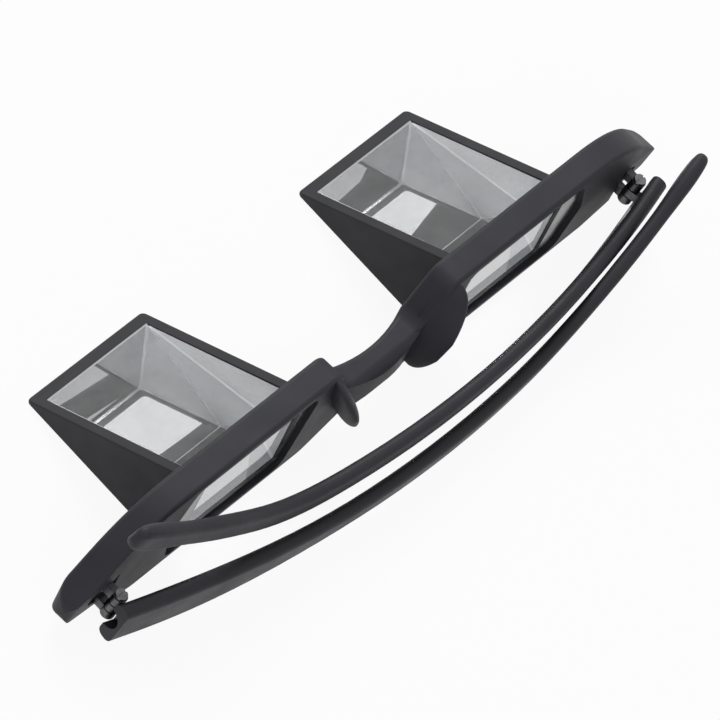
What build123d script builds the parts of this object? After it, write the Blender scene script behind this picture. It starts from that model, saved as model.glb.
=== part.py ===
from build123d import *
from math import cos, pi, radians, sin
import os

# Prism glasses lying upside down on a table with folded temples.
# X runs across to the wearer's left, Y forwards, Z up to the wearer's chin.
# The flat tops of the two prism housings and of the brow lie on the plane Z = 0.

# Prisms: a triangle with a mirrored slope, a rear face at the eye and an open face.
lens_spacing = 75.0
prism_width = 27.0
prism_slope = 33.0
prism_rear = 19.2
face_lean = 6.6
glass_bevel = 0.25
backing_thickness = 0.6
fit_gap = 0.1

# Prism housings.
base_wall = 1.2
side_wall = 2.2
front_lip = 2.3
housing_corner = 1.0
housing_edge = 0.3

# Front frame, measured in its own leaning plane from the rear lower edge of the glass.
frame_front = 4.1
frame_rear = 1.6
crown_wall = 2.0
frame_end = 9.2
frame_foot = 2.0
brow_end_run = 18.8
brow_inner_run = 20.0
end_low = 2.4
end_high = 7.4
crown_end_run = 14.8
notch_run = 21.6
notch_depth = 5.5
notch_drop = 9.1
bridge_height = 8.3
bridge_half = 5.0
end_radius = 3.5
crown_radius = 26.0
notch_radius = 3.6
bridge_radius = 6.0
frame_corner = 3.8
frame_rear_corner = 1.4
frame_edge = 0.8
rim_slope_share = 0.5
dent_run = 0.6
dent_depth = 2.0
bridge_bar_rear = 3.1
bridge_bar_front = 1.6
bridge_bar_inset = 3.9
bridge_bar_round = 2.2
bridge_bar_bulge = 2.0

# Eye plates, set in recesses in the rear of the frame.
plate_thickness = 0.6
plate_low = 0.4
plate_top_rim = 1.7
plate_inner_top_rim = 3.5
plate_inner_low_rim = 1.0
plate_outer_top_rim = 4.0
plate_outer_mid_rim = 7.7
plate_outer_low_rim = 5.0
plate_mid_height = 10.0
plate_round = 2.5
window_width = 26.0
window_low = 1.2
window_top_rim = 3.9
window_round = 1.0

# Nose pads, moulded with the frame.
pad_root_front = 2.2
pad_middle_rear = 3.2
pad_tip_rear = 4.9
pad_end_rear = 5.8
pad_root_inset = 2.5
pad_middle_inset = 3.0
pad_tip_inset = 3.3
pad_end_inset = 3.4
pad_root_z = 15.6
pad_middle_z = 13.0
pad_tip_z = 12.0
pad_end_z = 11.6
pad_root_length = 15.0
pad_middle_length = 15.5
pad_tip_length = 10.0
pad_end_length = 4.5
pad_root_thickness = 3.6
pad_middle_thickness = 3.2
pad_tip_thickness = 2.3
pad_end_thickness = 1.0
pad_slant = 29.0

# Hinges, each in its own axes: the pin stands along Z, the open temple runs towards -Y.
hinge_run = 15.4
hinge_y = -3.2
hinge_z = 7.1
right_tilt = -1.7
left_tilt = 3.1
barrel_radius = 1.4
barrel_height = 6.2
barrel_gap = 0.3
leaf_thickness = 0.8
leaf_length = 9.0
leaf_height = 6.0
leaf_round = 0.8
web_width = 1.6
frame_leaf_depth = 3.0
recess_margin = 0.4
screw_radius = 0.7
screw_play = 0.05
screw_head_radius = 1.15
screw_head_height = 0.6
screw_slot_width = 0.35
screw_slot_depth = 0.3
butt_distance = 2.8
butt_gap = 0.3
notch_round = 2.4
temple_notch_depth = 3.2
frame_notch_depth = 1.6

# Temples: a bowed arm with a rising ear piece.
temple_length = 160.0
bow_radius = 290.0
right_fold = 16.2
left_fold = 13.1
open_splay = 8.0
temple_inner = 1.7
root_thickness = 3.1
arm_thickness = 2.8
root_height = 10.0
arm_height = 5.6
hook_height = 5.4
taper_start = 8.0
taper_end = 56.0
bend_start = 102.0
bend_end = 124.0
hook_angle = 22.0
tip_round = 2.4
section_round_share = 0.42
tip_angles = (32.0, 58.0, 74.0)
arm_stations = 16

overrun = 20.0

lens_x = lens_spacing / 2
frame_height = prism_rear + crown_wall
bridge_top = frame_height - notch_drop
bridge_low = bridge_top - bridge_height
plate_high = frame_height - plate_top_rim
window_high = frame_height - window_top_rim
window_inner = lens_x - window_width / 2
window_outer = lens_x + window_width / 2
plate_inner_top = window_inner - plate_inner_top_rim
plate_inner_low = window_inner - plate_inner_low_rim
plate_outer_top = window_outer + plate_outer_top_rim
plate_outer_mid = window_outer + plate_outer_mid_rim
plate_outer_low = window_outer + plate_outer_low_rim
hinge_x = plate_outer_mid + hinge_run
frame_half_width = hinge_x + frame_end
brow_flat_half = frame_half_width - brow_end_run
crown_half = frame_half_width - crown_end_run
brow_inner_half = lens_x - brow_inner_run
notch_half_top = lens_x - notch_run
notch_half_base = notch_half_top - notch_depth
dent_half = notch_half_base + dent_run
bridge_bar_half = notch_half_top - bridge_bar_inset
pad_root_x = notch_half_top - pad_root_inset
pad_middle_x = notch_half_top - pad_middle_inset
pad_tip_x = notch_half_top - pad_tip_inset
pad_end_x = notch_half_top - pad_end_inset
glass_z = base_wall + backing_thickness
glass_rear_y = prism_rear * sin(radians(face_lean))
glass_rear_z = glass_z + prism_rear * cos(radians(face_lean))
open_slope = (glass_rear_z - glass_z) / (prism_slope - glass_rear_y)
housing_tip = prism_slope + front_lip
knuckle_height = (barrel_height - 2 * barrel_gap) / 3
knuckle_step = knuckle_height + barrel_gap
pad_direction = (cos(radians(pad_slant)), 0, -sin(radians(pad_slant)))
hook_radius = (bend_end - bend_start) / radians(hook_angle)
from_rear = (Align.CENTER, Align.MIN, Align.CENTER)
to_rear = (Align.CENTER, Align.MAX, Align.CENTER)


def lean(shape):
    """Places a shape drawn in the frame's leaning plane."""
    return Pos(0, 0, glass_z) * Rot(-face_lean, 0, 0) * shape


def ahead_of(depth):
    """All the room in front of a depth of the frame."""
    room = Box(2 * lens_spacing, 2 * prism_slope, 2 * prism_slope, align=from_rear)
    return lean(Pos(0, depth, 0) * room)


def open_face(y):
    """Height of the open glass face at a distance forwards."""
    return glass_z + (prism_slope - y) * open_slope


def wedge(low, lift, tip, width):
    """Everything under the open face from a height upwards, back from a tip."""
    points = [(-overrun, low), (tip, low), (tip, open_face(tip) + lift)]
    points.append((-overrun, open_face(-overrun) + lift))
    face = make_face(Polyline(*points, close=True))
    return extrude(Plane.YZ * face, amount=width / 2, both=True)


def make_prism():
    points = [(0, glass_z), (prism_slope, glass_z), (glass_rear_y, glass_rear_z)]
    face = make_face(Polyline(*points, close=True))
    glass = extrude(Plane.YZ * face, amount=prism_width / 2, both=True)
    return chamfer(glass.edges(), glass_bevel)


def make_backing():
    plate = Box(prism_width, prism_slope, backing_thickness, align=(Align.CENTER, Align.MIN, Align.MIN))
    return Pos(0, 0, base_wall) * plate


def make_housing():
    width = prism_width + 2 * side_wall
    outer = wedge(0, 0, housing_tip, width)
    plan = Pos(0, (housing_tip - overrun) / 2) * Rectangle(width, housing_tip + overrun)
    plan = fillet(plan.vertices().group_by(Axis.Y)[-1], housing_corner)
    outer = outer & extrude(plan, amount=2 * overrun, both=True)
    top = outer.faces().sort_by(Axis.Z)[-1]
    outer = fillet(top.edges().sort_by(Axis.Y)[1:], housing_edge)
    room = Box(
        prism_width + 2 * fit_gap,
        overrun + prism_slope + fit_gap,
        2 * overrun,
        align=(Align.CENTER, Align.MIN, Align.MIN),
    )
    shell = outer - Pos(0, -overrun, base_wall) * room
    return shell & ahead_of(frame_front)


def frame_outline():
    """The front view in X and height."""
    points = [
        (0, bridge_low),
        (bridge_half, bridge_low),
        (brow_inner_half, -frame_foot),
        (brow_flat_half, -frame_foot),
        (frame_half_width, end_low),
        (frame_half_width, end_high),
        (crown_half, frame_height),
        (notch_half_top, frame_height),
        (notch_half_base, bridge_top),
        (0, bridge_top),
    ]
    radii = [bridge_radius, bridge_radius, bridge_radius, end_radius, end_radius, crown_radius]
    radii += [notch_radius, notch_radius]
    outline = FilletPolyline(*points, radius=radii)
    closing = Line((0, bridge_top), (0, bridge_low))
    half = make_face(outline.edges() + closing.edges())
    return half + mirror(half, about=Plane.YZ)


def from_front(sketch, front, rear):
    """Extrudes a front view between two depths of the frame."""
    return extrude(Plane.XZ.offset(-front) * sketch, amount=front - rear)


def plan_band():
    """The frame from above: round outer corners and a shallow dent at the bridge."""
    depth = frame_front + frame_rear
    band = Pos(0, (frame_front - frame_rear) / 2) * Rectangle(2 * frame_half_width, depth)
    band = fillet(band.vertices().group_by(Axis.Y)[-1], frame_corner)
    dent_radius = (dent_half**2 + dent_depth**2) / (2 * dent_depth)
    dent = Pos(0, frame_front - dent_depth + dent_radius) * Circle(dent_radius)
    return extrude(band - dent, amount=2 * overrun, both=True)


def plate_outline(inset):
    """The outline of the left eye plate, or of its recess with no inset."""
    low = -plate_low + inset
    high = plate_high - inset
    points = [
        (plate_inner_low + inset, low),
        (plate_outer_low - inset, low),
        (plate_outer_mid - inset, plate_mid_height),
        (plate_outer_top - inset, high),
        (plate_inner_top + inset, high),
    ]
    return make_face(FilletPolyline(*points, radius=plate_round, close=True))


def make_eye_plate():
    plate = from_front(plate_outline(fit_gap), -fit_gap, -fit_gap - plate_thickness)
    opening = RectangleRounded(window_width, window_high - window_low, window_round)
    opening = Pos(lens_x, (window_low + window_high) / 2) * opening
    return lean(plate - from_front(opening, overrun, -overrun))


def bridge_bar():
    """The thick rear part of the bridge, which bulges to the rear in the middle."""
    depth = bridge_bar_front + bridge_bar_rear
    section = RectangleRounded(depth, bridge_top - bridge_low, bridge_bar_round)
    section = Pos((bridge_bar_front - bridge_bar_rear) / 2, (bridge_top + bridge_low) / 2) * section
    bar = extrude(Plane.YZ * section, amount=bridge_bar_half, both=True)
    bulge_radius = (bridge_bar_half**2 + bridge_bar_bulge**2) / (2 * bridge_bar_bulge)
    bulge = Pos(0, bulge_radius - bridge_bar_rear, 0) * Cylinder(bulge_radius, 2 * overrun)
    return lean(bar & bulge)


def pad_section(x, y, z, thickness, length):
    plane = Plane(origin=(x, y, z), x_dir=pad_direction, z_dir=(0, -1, 0))
    return plane * Ellipse(thickness / 2, length / 2)


def nose_pad():
    """The left nose pad, a fin that narrows to the rear."""
    sections = [
        pad_section(pad_root_x, pad_root_front, pad_root_z, pad_root_thickness, pad_root_length),
        pad_section(pad_middle_x, -pad_middle_rear, pad_middle_z, pad_middle_thickness, pad_middle_length),
        pad_section(pad_tip_x, -pad_tip_rear, pad_tip_z, pad_tip_thickness, pad_tip_length),
        pad_section(pad_end_x, -pad_end_rear, pad_end_z, pad_end_thickness, pad_end_length),
    ]
    return loft(sections)


def at_hinge(shape, tilt):
    """Places a shape drawn in a hinge's axes at the left hinge."""
    return Pos(hinge_x, hinge_y, hinge_z) * Rot(0, tilt, 0) * shape


def hinge_cut():
    """What the frame gives up to a hinge, in the hinge's axes."""
    wall = barrel_radius + recess_margin
    width = leaf_length + wall
    floor = frame_leaf_depth + leaf_thickness
    height = leaf_height + 2 * fit_gap
    slot = Box(width, leaf_thickness + fit_gap, height, align=(Align.MAX, Align.MAX, Align.CENTER))
    mouth = Box(barrel_radius + wall, overrun, height, align=(Align.MAX, Align.MAX, Align.CENTER))
    recess = Pos(barrel_radius, floor, 0) * (slot + mouth)
    butt = Box(overrun, overrun, 2 * overrun, align=(Align.MIN, Align.MAX, Align.CENTER))
    butt = Pos(-wall, butt_distance, 0) * butt
    notch = Pos(barrel_radius, butt_distance + frame_notch_depth, 0) * Rot(90, 0, 0) * Cylinder(
        notch_round, overrun, align=(Align.CENTER, Align.CENTER, Align.MIN)
    )
    return recess + butt + notch


def end_rounding():
    """What rounds the rear corner of the frame's left end."""
    centre = (frame_half_width - frame_rear_corner, hinge_y + butt_distance + frame_rear_corner)
    block = Box(overrun, overrun, 2 * overrun, align=(Align.MIN, Align.MAX, Align.CENTER))
    return Pos(*centre, 0) * (block - Cylinder(frame_rear_corner, 2 * overrun))


def runs_across(edge):
    """True where an edge follows the front view and doesn't run from front to rear."""
    slopes = [abs(edge.tangent_at(0).Y), abs(edge.tangent_at(1).Y)]
    return max(slopes) < rim_slope_share


def make_front_frame():
    frame = from_front(frame_outline(), frame_front, -frame_rear) & plan_band()
    frame = lean(fillet(frame.edges().filter_by(runs_across), frame_edge))
    frame = frame + bridge_bar() + nose_pad() + mirror(nose_pad(), about=Plane.YZ)
    left = lean(from_front(plate_outline(0), -fit_gap, -overrun))
    pocket = wedge(base_wall, fit_gap, overrun, prism_width + 2 * fit_gap) & ahead_of(-fit_gap)
    left = left + Pos(lens_x, 0, 0) * pocket
    frame = frame - left - mirror(left, about=Plane.YZ)
    frame = frame - at_hinge(hinge_cut(), left_tilt)
    frame = frame - mirror(at_hinge(hinge_cut(), right_tilt), about=Plane.YZ)
    frame = frame - end_rounding() - mirror(end_rounding(), about=Plane.YZ)
    below = (Align.CENTER, Align.CENTER, Align.MAX)
    return frame - Box(2 * frame_half_width + overrun, 2 * overrun, overrun, align=below)


def make_frame_leaf():
    """The leaf in the frame, with the two outer knuckles."""
    width = leaf_length + web_width / 2
    plate = Box(width, leaf_thickness, leaf_height, align=(Align.MIN, Align.MIN, Align.CENTER))
    plate = fillet(plate.edges().filter_by(Axis.Y).group_by(Axis.X)[0], leaf_round)
    leaf = Pos(-leaf_length, frame_leaf_depth, 0) * plate
    web = Box(web_width, frame_leaf_depth, knuckle_height, align=from_rear)
    bore = Cylinder(screw_radius, 2 * barrel_height)
    for height in (-knuckle_step, knuckle_step):
        leaf = leaf + Pos(0, 0, height) * (Cylinder(barrel_radius, knuckle_height) + web)
    return leaf - bore


def make_temple_leaf():
    """The leaf in the temple, with the middle knuckle."""
    plate = Box(leaf_thickness, leaf_length, leaf_height, align=(Align.MIN, Align.MAX, Align.CENTER))
    plate = fillet(plate.edges().filter_by(Axis.X).group_by(Axis.Y)[0], leaf_round)
    leaf = Pos(temple_inner, 0, 0) * plate
    web = Box(temple_inner, barrel_radius, knuckle_height, align=(Align.MIN, Align.MAX, Align.CENTER))
    leaf = leaf + Cylinder(barrel_radius, knuckle_height) + web
    return leaf - Cylinder(screw_radius + screw_play, barrel_height)


def make_screw():
    top = barrel_height / 2
    shaft = Cylinder(screw_radius, barrel_height)
    head = Cylinder(screw_head_radius, screw_head_height, align=(Align.CENTER, Align.CENTER, Align.MIN))
    below = (Align.CENTER, Align.CENTER, Align.MAX)
    slot = Box(2 * screw_head_radius, screw_slot_width, screw_slot_depth, align=below)
    return shaft + Pos(0, 0, top) * head - Pos(0, 0, top + screw_head_height) * slot


def eased(start, end, share):
    """A value that swings gently from one to another as a share goes from none to all."""
    share = min(max(share, 0), 1)
    return start + (end - start) * (1 - cos(pi * share)) / 2


def temple_plane(length):
    """The plane across the temple at a length along it from the hinge."""
    turn = min(max(length - bend_start, 0) / hook_radius, radians(hook_angle))
    straight = max(length - bend_end, 0)
    run = min(length, bend_start) + hook_radius * sin(turn) + straight * cos(turn)
    rise = hook_radius * (1 - cos(turn)) + straight * sin(turn)
    bow = max(run, 0) / bow_radius
    centre = temple_inner + root_thickness / 2
    x = centre - bow_radius * (1 - cos(bow))
    y = -bow_radius * sin(bow) - min(run, 0)
    ahead = (-sin(bow) * cos(turn), -cos(bow) * cos(turn), sin(turn))
    return Plane(origin=(x, y, rise), x_dir=(cos(bow), -sin(bow), 0), z_dir=ahead)


def temple_section(length, share):
    """The temple's section at a length, shrunk to a share near the tip."""
    taper = (length - taper_start) / (taper_end - taper_start)
    thickness = eased(root_thickness, arm_thickness, taper)
    height = eased(root_height, arm_height, taper)
    height = eased(height, hook_height, (length - bend_start) / (bend_end - bend_start))
    radius = thickness * section_round_share
    return temple_plane(length) * RectangleRounded(thickness * share, height * share, radius * share)


def make_temple():
    """The left temple in the axes of its hinge, running towards -Y."""
    reach = temple_length - tip_round
    start = -2 * butt_distance
    step = (reach - start) / arm_stations
    sections = [temple_section(start + step * count, 1) for count in range(arm_stations + 1)]
    for angle in tip_angles:
        length = reach + tip_round * sin(radians(angle))
        sections.append(temple_section(length, cos(radians(angle))))
    arm = loft(sections)
    beyond = Box(2 * overrun, overrun, 2 * overrun, align=from_rear)
    arm = arm - Rot(0, 0, -open_splay) * Pos(0, butt_distance - butt_gap, 0) * beyond
    depth = temple_inner + leaf_thickness
    recess = Box(2 * depth, leaf_length + 2 * fit_gap, leaf_height + 2 * fit_gap, align=to_rear)
    notch = Pos(temple_inner, butt_distance - temple_notch_depth, 0) * Rot(-90, 0, 0) * Cylinder(
        notch_round, overrun, align=(Align.CENTER, Align.CENTER, Align.MIN)
    )
    return arm - Pos(0, fit_gap, 0) * recess - notch


def folded(shape, fold):
    """Turns a shape of the left temple from straight back to folded."""
    return Rot(0, 0, fold - 90) * shape


nodes = {"front_frame": make_front_frame()}
prism = make_prism()
backing = make_backing()
housing = make_housing()
eye_plate = make_eye_plate()
nodes["prism_left"] = Pos(lens_x, 0, 0) * prism
nodes["mirror_backing_left"] = Pos(lens_x, 0, 0) * backing
nodes["prism_housing_left"] = Pos(lens_x, 0, 0) * housing
nodes["eye_plate_left"] = eye_plate
nodes["temple_left"] = at_hinge(folded(make_temple(), left_fold), left_tilt)
nodes["temple_hinge_leaf_left"] = at_hinge(folded(make_temple_leaf(), left_fold), left_tilt)
nodes["frame_hinge_leaf_left"] = at_hinge(make_frame_leaf(), left_tilt)
nodes["hinge_screw_left"] = at_hinge(make_screw(), left_tilt)

right = {
    "prism_right": Pos(lens_x, 0, 0) * prism,
    "mirror_backing_right": Pos(lens_x, 0, 0) * backing,
    "prism_housing_right": Pos(lens_x, 0, 0) * housing,
    "eye_plate_right": eye_plate,
    "temple_right": at_hinge(folded(make_temple(), right_fold), right_tilt),
    "temple_hinge_leaf_right": at_hinge(folded(make_temple_leaf(), right_fold), right_tilt),
    "frame_hinge_leaf_right": at_hinge(make_frame_leaf(), right_tilt),
    "hinge_screw_right": at_hinge(make_screw(), right_tilt),
}
for name, shape in right.items():
    nodes[name] = mirror(shape, about=Plane.YZ)

box = Compound(children=[shape.solid() for shape in nodes.values()]).bounding_box()
os.makedirs("parts", exist_ok=True)
for name, shape in nodes.items():
    export_step(Pos(0, -box.center().Y, 0) * shape.solid(), "parts/" + name + ".step")
    print(name, round(shape.volume, 2), len(shape.solids()), shape.is_valid)
print("box", box.min, box.max)
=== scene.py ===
import math

import bmesh
import bpy
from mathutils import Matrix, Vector


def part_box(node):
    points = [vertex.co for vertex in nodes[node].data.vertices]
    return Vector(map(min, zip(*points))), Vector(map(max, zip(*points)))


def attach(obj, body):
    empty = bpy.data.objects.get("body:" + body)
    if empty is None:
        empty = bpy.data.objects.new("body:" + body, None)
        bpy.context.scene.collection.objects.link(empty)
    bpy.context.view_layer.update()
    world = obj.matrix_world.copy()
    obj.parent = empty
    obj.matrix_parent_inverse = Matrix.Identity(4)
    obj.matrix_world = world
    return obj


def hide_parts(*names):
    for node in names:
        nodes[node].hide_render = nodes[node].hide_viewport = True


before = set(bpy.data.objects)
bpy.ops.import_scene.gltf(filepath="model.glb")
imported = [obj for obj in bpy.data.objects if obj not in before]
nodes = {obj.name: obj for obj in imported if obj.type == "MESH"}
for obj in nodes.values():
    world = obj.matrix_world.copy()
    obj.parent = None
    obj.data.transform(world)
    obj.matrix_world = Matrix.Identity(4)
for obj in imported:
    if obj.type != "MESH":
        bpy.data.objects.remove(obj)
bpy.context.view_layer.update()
scene = bpy.context.scene
SIDES = ("left", "right")
MM = 0.001

# The glass, set against the box of its CAD node
FOOT_LIFT = 0.03 * MM
FACE_DROP = 0.3 * MM
EDGE_CHAMFER = 0.34 * MM
FACE_CHAMFER = 0.14 * MM

# A face whose normal passes one of these lies square to an axis, or slopes upwards
SQUARE_ON = 0.9
UPWARDS = 0.5

# The glass's material slots
CLEAR_REAR, GROUND_END, SILVERED_FOOT, OPEN_FACE, CHAMFER = range(5)

# Noise mostly stays between these two values, and what it drives is spread over them
NOISE_LOW = 0.3
NOISE_HIGH = 0.7

# Depth of the fine grain in the moulded plastic and in the ground glass
PLASTIC_GRAIN = 0.012 * MM
GROUND_GRAIN = 0.02 * MM

# The floor and the white surround, in metres and shares of full brightness
FLOOR_REACH = 6.0
FLOOR_TONES = ((0.71, 0.71, 0.71), (0.73, 0.73, 0.73))
FLOOR_ROUGHNESS = 0.9
FLOOR_GLOW_SHARE = 0.92
SURROUND_LIGHT = 0.6
WHITE = (1, 1, 1, 1)

# The two lamps: place and size in metres, power in watts, each aimed at the origin
KEY_LIGHT = {"place": (0.6, 0.85, 0.95), "size": (0.7, 0.5), "power": 11.5}
FILL_LIGHT = {"place": (-0.7, -0.6, 0.8), "size": (0.8, 0.6), "power": 2.0}

# The camera: place in metres, turns about X, Y and Z in degrees, lens and sensor in millimetres
CAMERA_PLACE = (-0.79646, -0.14636, 1.06332)
CAMERA_TURNS = (31.0984, -22.6749, -47.4109)
CAMERA_LENS = 373.62
CAMERA_SENSOR = 36.0
CAMERA_SHIFT = (-0.04256, -0.04039)
CAMERA_NEAR = 0.05
CAMERA_FAR = 20.0


# Material functions. A noise is given as its scale per metre, its detail and, where needed, its roughness

def shader(mat):
    return mat.node_tree, mat.node_tree.nodes["Principled BSDF"]


def new_material(name, tone, roughness, **values):
    mat = bpy.data.materials.new(name)
    mat.use_nodes = True
    bsdf = shader(mat)[1]
    bsdf.inputs["Base Color"].default_value = (*tone, 1)
    bsdf.inputs["Roughness"].default_value = roughness
    for key, value in values.items():
        bsdf.inputs[key.replace("_", " ")].default_value = value
    return mat


def noise(tree, scale, detail, roughness=0.5):
    coords = tree.nodes.new("ShaderNodeTexCoord")
    texture = tree.nodes.new("ShaderNodeTexNoise")
    texture.inputs["Scale"].default_value = scale
    texture.inputs["Detail"].default_value = detail
    texture.inputs["Roughness"].default_value = roughness
    tree.links.new(coords.outputs["Object"], texture.inputs["Vector"])
    return texture.outputs["Fac"]


def mottle(mat, grain, tones):
    """Lets the base colour drift between two tones."""
    tree, bsdf = shader(mat)
    ramp = tree.nodes.new("ShaderNodeValToRGB")
    for element, place, tone in zip(ramp.color_ramp.elements, (NOISE_LOW, NOISE_HIGH), tones):
        element.position = place
        element.color = (*tone, 1)
    tree.links.new(noise(tree, *grain), ramp.inputs["Fac"])
    tree.links.new(ramp.outputs["Color"], bsdf.inputs["Base Color"])


def drift(mat, socket, grain, ends):
    """Lets one value of the shader drift between two ends."""
    tree, bsdf = shader(mat)
    spread = tree.nodes.new("ShaderNodeMapRange")
    spread.inputs["From Min"].default_value = NOISE_LOW
    spread.inputs["From Max"].default_value = NOISE_HIGH
    spread.inputs["To Min"].default_value = ends[0]
    spread.inputs["To Max"].default_value = ends[1]
    tree.links.new(noise(tree, *grain), spread.inputs["Value"])
    tree.links.new(spread.outputs["Result"], bsdf.inputs[socket])


def roughen(mat, grain, depth):
    """Gives the surface a fine relief."""
    tree, bsdf = shader(mat)
    bump = tree.nodes.new("ShaderNodeBump")
    bump.inputs["Distance"].default_value = depth
    tree.links.new(noise(tree, *grain), bump.inputs["Height"])
    tree.links.new(bump.outputs["Normal"], bsdf.inputs["Normal"])


def surface(name, tones, tone_noise, rough, rough_noise, **values):
    """A material whose colour and roughness drift. The other values are the same all over."""
    mat = new_material(name, tones[0], rough[0], **values)
    mottle(mat, tone_noise, tones)
    drift(mat, "Roughness", rough_noise, rough)
    return mat


def moulded_plastic(name, tones, rough):
    """Black plastic with a matte skin, a fine grain and faint marks of handling."""
    mat = surface(name, tones, (60, 4, 0.6), rough, (140, 5, 0.6), Specular_IOR_Level=0.25)
    roughen(mat, (4200, 2, 0.6), PLASTIC_GRAIN)
    return mat


def optical_glass(name, **values):
    """Glass with a faint tint and the smears of handling."""
    tones = ((0.978, 0.982, 0.988), (0.994, 0.997, 1.0))
    return surface(name, tones, (50, 3), (0.0, 0.003), (70, 5, 0.6), IOR=1.517, **values)


def ground_surface(name, tones, rough):
    """Glass that is ground to a pale matte face."""
    return surface(name, tones, (900, 4, 0.7), rough, (300, 4))


def metal(name, tones, tone_scale, rough, rough_scale):
    return surface(name, tones, (tone_scale, 3), rough, (rough_scale, 4), Metallic=1.0)


# The materials

frame_plastic = moulded_plastic(
    "frame_plastic", ((0.024, 0.024, 0.03), (0.031, 0.031, 0.038)), (0.5, 0.62))
housing_plastic = moulded_plastic(
    "housing_plastic", ((0.022, 0.022, 0.026), (0.028, 0.028, 0.033)), (0.52, 0.64))
temple_plastic = moulded_plastic(
    "temple_plastic", ((0.022, 0.022, 0.027), (0.028, 0.028, 0.034)), (0.46, 0.6))
eye_plate = surface(
    "eye_plate", ((0.026, 0.026, 0.029), (0.036, 0.036, 0.039)), (90, 3), (0.14, 0.24), (220, 4))

clear_glass = optical_glass("prism_glass", Transmission_Weight=1.0)
hazy_glass = optical_glass("prism_face")
drift(hazy_glass, "Transmission Weight", (240, 5, 0.65), (0.95, 0.91))

ground_glass = ground_surface("ground_glass", ((0.76, 0.77, 0.785), (0.87, 0.88, 0.89)), (0.5, 0.65))
roughen(ground_glass, (6000, 3, 0.7), GROUND_GRAIN)
# The same ground glass in a lighter tone: a painted highlight along the chamfers of the prism's edges
painted_highlight_edge = ground_surface("ground_edge_painted_highlight", ((0.93, 0.94, 0.95), (0.98, 0.985, 0.99)), (0.35, 0.5))

mirror = metal("mirror_backing", ((0.71, 0.72, 0.73), (0.79, 0.8, 0.81)), 40, (0.0, 0.006), 260)
hinge_metal = metal("hinge_metal", ((0.09, 0.09, 0.095), (0.15, 0.15, 0.157)), 500, (0.28, 0.45), 1500)
screw_metal = metal("screw_metal", ((0.2, 0.2, 0.21), (0.32, 0.32, 0.33)), 700, (0.18, 0.35), 2000)

# What each pair of CAD nodes is made of
PAIR_MATERIALS = {
    "prism_housing_": housing_plastic,
    "temple_": temple_plastic,
    "eye_plate_": eye_plate,
    "mirror_backing_": mirror,
    "frame_hinge_leaf_": hinge_metal,
    "temple_hinge_leaf_": hinge_metal,
    "hinge_screw_": screw_metal,
}

# What the glass is made of, in the order of its slots; the chamfers' lighter ground glass is a painted
# highlight
GLASS_MATERIALS = (clear_glass, ground_glass, mirror, hazy_glass, painted_highlight_edge)


def dress(node, mat):
    data = nodes[node].data
    data.materials.clear()
    data.materials.append(mat)


dress("front_frame", frame_plastic)
for side in SIDES:
    for pair, material in PAIR_MATERIALS.items():
        dress(pair + side, material)


# The prisms

def add_object(name, mesh, body):
    obj = bpy.data.objects.new(name, mesh)
    scene.collection.objects.link(obj)
    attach(obj, body)
    return obj


def prism_outline(side):
    """The glass's rear, tip and top corners in Y and Z, and its two ends in X."""
    low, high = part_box("prism_" + side)
    top = max((v.co for v in nodes["prism_" + side].data.vertices), key=lambda co: co.z)
    foot = low.z + FOOT_LIFT
    lean = (top.y - low.y) / (high.z - foot)
    corners = ((low.y, foot), (high.y, foot), (top.y - FACE_DROP * lean, high.z - FACE_DROP))
    return corners, (low.x, high.x)


def wedge(corners, ends):
    """A closed solid with the outline at both ends."""
    bm = bmesh.new()
    first, last = [[bm.verts.new((x, y, z)) for y, z in corners] for x in ends]
    bm.faces.new(first)
    bm.faces.new(list(reversed(last)))
    for i in range(len(corners)):
        j = (i + 1) % len(corners)
        bm.faces.new((first[j], first[i], last[i], last[j]))
    bmesh.ops.recalc_face_normals(bm, faces=bm.faces)
    bm.normal_update()
    return bm


def face_slot(normal):
    if abs(normal.x) > SQUARE_ON:
        return GROUND_END
    if normal.z < -SQUARE_ON:
        return SILVERED_FOOT
    if normal.z > UPWARDS:
        return OPEN_FACE
    return CLEAR_REAR


def chamfer(bm, on_face, width):
    """Chamfers the edges around the open face, or else all the others."""
    edges = [e for e in bm.edges if any(f.material_index == OPEN_FACE for f in e.link_faces) == on_face]
    made = bmesh.ops.bevel(bm, geom=edges, offset=width, segments=1, affect="EDGES", material=CHAMFER)
    for face in made["faces"]:
        face.material_index = CHAMFER


def make_prism(side):
    """A glass wedge with ground ends and narrow ground chamfers, the chamfers in a lighter tone as a
    painted highlight. It casts no shadow of its own.
    """
    bm = wedge(*prism_outline(side))
    for face in bm.faces:
        face.material_index = face_slot(face.normal)
    chamfer(bm, False, EDGE_CHAMFER)
    chamfer(bm, True, FACE_CHAMFER)
    mesh = bpy.data.meshes.new("prism_glass_" + side)
    bm.to_mesh(mesh)
    bm.free()
    for glass_material in GLASS_MATERIALS:
        mesh.materials.append(glass_material)
    obj = add_object("prism_glass_" + side, mesh, "frame")
    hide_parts("prism_" + side)
    obj.visible_shadow = False


for side in SIDES:
    make_prism(side)


# The stage

def ray_kinds(tree, *kinds):
    """Is 1 for a ray of one of these kinds, and 0 for the others."""
    path = tree.nodes.new("ShaderNodeLightPath")
    found = path.outputs[kinds[0]]
    for kind in kinds[1:]:
        larger = tree.nodes.new("ShaderNodeMath")
        larger.operation = "MAXIMUM"
        tree.links.new(found, larger.inputs[0])
        tree.links.new(path.outputs[kind], larger.inputs[1])
        found = larger.outputs[0]
    return found


def mix_into(tree, output, share, first, second):
    """Feeds an output with the first shader, and with the second by its share."""
    mix = tree.nodes.new("ShaderNodeMixShader")
    for socket, source in zip(mix.inputs, (share, first, second)):
        tree.links.new(source, socket)
    tree.links.new(mix.outputs[0], tree.nodes[output].inputs["Surface"])


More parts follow.
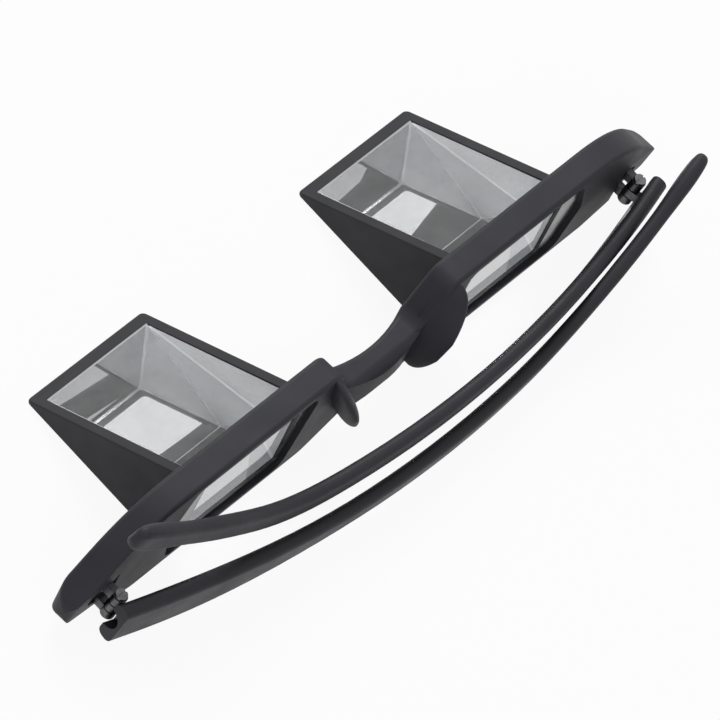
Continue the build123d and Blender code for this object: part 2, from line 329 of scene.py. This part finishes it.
def floor_material():
    """A pale floor that takes a shadow, and is nearly white to the camera, in mirrors and through glass."""
    mat = new_material("floor", FLOOR_TONES[0], FLOOR_ROUGHNESS)
    mottle(mat, (4, 2), FLOOR_TONES)
    tree, bsdf = shader(mat)
    glow = tree.nodes.new("ShaderNodeEmission")
    glow.inputs["Color"].default_value = WHITE
    glow.inputs["Strength"].default_value = 1.0
    share = tree.nodes.new("ShaderNodeMath")
    share.operation = "MULTIPLY"
    share.inputs[1].default_value = FLOOR_GLOW_SHARE
    seen = ray_kinds(tree, "Is Camera Ray", "Is Glossy Ray", "Is Transmission Ray")
    tree.links.new(seen, share.inputs[0])
    mix_into(tree, "Material Output", share.outputs[0], bsdf.outputs[0], glow.outputs[0])
    return mat


def make_floor():
    mesh = bpy.data.meshes.new("floor")
    reach = FLOOR_REACH
    corners = [(-reach, -reach, 0), (reach, -reach, 0), (reach, reach, 0), (-reach, reach, 0)]
    mesh.from_pydata(corners, [], [(0, 1, 2, 3)])
    mesh.materials.append(floor_material())
    floor = bpy.data.objects.new("floor", mesh)
    scene.collection.objects.link(floor)


def make_surround():
    """A white world that the camera sees at full brightness and that lights the part more dimly."""
    world = bpy.data.worlds.new("studio")
    scene.world = world
    world.use_nodes = True
    tree = world.node_tree
    light = tree.nodes["Background"]
    seen = tree.nodes.new("ShaderNodeBackground")
    for background, strength in ((light, SURROUND_LIGHT), (seen, 1.0)):
        background.inputs["Color"].default_value = WHITE
        background.inputs["Strength"].default_value = strength
    mix_into(tree, "World Output", ray_kinds(tree, "Is Camera Ray"), light.outputs[0], seen.outputs[0])


def softbox(name, place, size, power):
    """A rectangular lamp aimed at the origin."""
    lamp = bpy.data.lights.new(name, "AREA")
    lamp.shape = "RECTANGLE"
    lamp.size, lamp.size_y = size
    lamp.energy = power
    obj = bpy.data.objects.new(name, lamp)
    obj.location = place
    obj.rotation_mode = "QUATERNION"
    obj.rotation_quaternion = (-Vector(place)).to_track_quat("-Z", "Y")
    scene.collection.objects.link(obj)


def make_camera():
    camera = bpy.data.cameras.new("camera")
    camera.sensor_width = CAMERA_SENSOR
    camera.lens = CAMERA_LENS
    camera.shift_x, camera.shift_y = CAMERA_SHIFT
    camera.clip_start = CAMERA_NEAR
    camera.clip_end = CAMERA_FAR
    obj = bpy.data.objects.new("camera", camera)
    obj.location = CAMERA_PLACE
    obj.rotation_mode = "XYZ"
    obj.rotation_euler = [math.radians(turn) for turn in CAMERA_TURNS]
    scene.collection.objects.link(obj)
    scene.camera = obj


make_floor()
make_surround()
softbox("key_light", **KEY_LIGHT)
softbox("fill_light", **FILL_LIGHT)
make_camera()
scene.view_settings.view_transform = "Standard"
